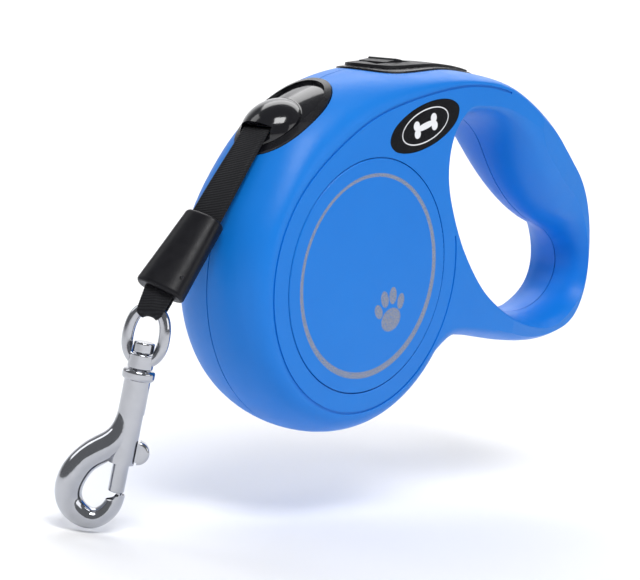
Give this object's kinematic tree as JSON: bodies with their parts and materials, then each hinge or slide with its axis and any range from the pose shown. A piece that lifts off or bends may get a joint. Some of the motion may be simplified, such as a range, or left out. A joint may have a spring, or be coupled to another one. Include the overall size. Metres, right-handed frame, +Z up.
{
  "type": "retractable dog leash",
  "caption": "Pocket-size retractable tape leash: round two-shell housing with a closed hand grip, thumb brake, sprung spool, flat tape, soft sleeve and swivel snap hook.",
  "frame": {"origin": "middle of the hand grip, on the parting plane", "axes": "+Z up with the leash held level, +X back along the handle away from the tape outlet, Y across the housing; -Y is the side without screws"},
  "size_m": [0.2042, 0.0334, 0.1342],
  "materials": {
    "blue_plastic": "satin moulded",
    "blue_cover": "satin moulded, printed ring and paw mark",
    "badge_black": "gloss label with a thin white ring",
    "black_plastic": "half gloss moulded",
    "black_gloss": "gloss moulded",
    "black_button": "fine texture",
    "natural_nylon": "moulded",
    "webbing": "fine twill woven tape",
    "sleeve_rubber": "smooth soft sleeve",
    "chrome_metal": "polished plated casting",
    "spring_steel": "drawn",
    "steel": "zinc plated"
  },
  "bodies": {
    "housing": {"housing_left": "blue_plastic", "housing_right": "blue_plastic", "side_cover_left": "blue_cover", "side_cover_right": "blue_cover", "badge_left": "badge_black", "badge_right": "badge_black", "outlet_bezel": "black_plastic", "outlet_nozzle": "black_gloss", "brake_bezel": "black_plastic", "pawl_pin": "steel", "axle": "steel", "thrust_washers": "natural_nylon", "housing_screws": "steel", "tape_neck": "webbing", "brake_spring": "spring_steel"},
    "brake": {"brake_button": "black_button"},
    "lock": {"lock_slider": "black_button"},
    "pawl": {"brake_pawl": "natural_nylon"},
    "spool": {"spool": "natural_nylon", "spool_cover": "natural_nylon", "tape_coil": "webbing", "power_spring": "spring_steel"},
    "tape_root": {"tape_run": "webbing"},
    "tape_end": {"tape_sleeve": "sleeve_rubber", "tape_loop": "webbing"},
    "eye": {"swivel_eye": "chrome_metal"},
    "hook": {"snap_hook": "chrome_metal", "bolt_spring": "spring_steel"},
    "bolt": {"snap_bolt": "chrome_metal"}
  },
  "joints": [
    {"name": "tape_swing", "type": "hinge", "parent": "housing", "child": "tape_root", "pos_m": [-0.1199, 0, -0.0041], "axis": [0, 1, 0], "range_deg": [0, 90]},
    {"name": "tape_pull", "type": "slide", "parent": "tape_root", "child": "tape_end", "axis": [-0.5531, 0, -0.8331], "range_m": [0, 0.2387], "stiffness_N_per_m": 0.6, "springref_m": -5},
    {"name": "spool_spin", "type": "hinge", "parent": "housing", "child": "spool", "pos_m": [-0.084, 0, -0.04], "axis": [0, 1, 0], "range_deg": [-360, 0]},
    {"name": "brake_press", "type": "slide", "parent": "housing", "child": "brake", "axis": [0, 0, -1], "range_m": [0, 0.0025], "stiffness_N_per_m": 600, "springref_m": -0.003, "deforming": ["brake_spring"]},
    {"name": "pawl_turn", "type": "hinge", "parent": "housing", "child": "pawl", "pos_m": [-0.059, 0, 0.0075], "axis": [0, 1, 0], "range_deg": [-8, 0]},
    {"name": "lock_slide", "type": "slide", "parent": "brake", "child": "lock", "axis": [-1, 0, 0], "range_m": [0, 0.004]},
    {"name": "eye_swing", "type": "hinge", "parent": "tape_end", "child": "eye", "pos_m": [-0.1489, 0, -0.0526], "axis": [0.5592, -0.829, 0], "range_deg": [-60, 60]},
    {"name": "hook_swivel", "type": "hinge", "parent": "eye", "child": "hook", "pos_m": [-0.14963, 0.00068, -0.06847], "axis": [0.0459, -0.0428, 0.998], "continuous": true},
    {"name": "bolt_slide", "type": "slide", "parent": "hook", "child": "bolt", "axis": [0.0459, -0.0428, 0.998], "range_m": [0, 0.0065], "stiffness_N_per_m": 250, "springref_m": -0.004, "deforming": ["bolt_spring"]}
  ],
  "couplings": [
    {"joint": "spool_spin", "follows": "tape_pull", "rad_per_m": -26.316},
    {"joint": "pawl_turn", "follows": "brake_press", "rad_per_m": -55.8}
  ]
}
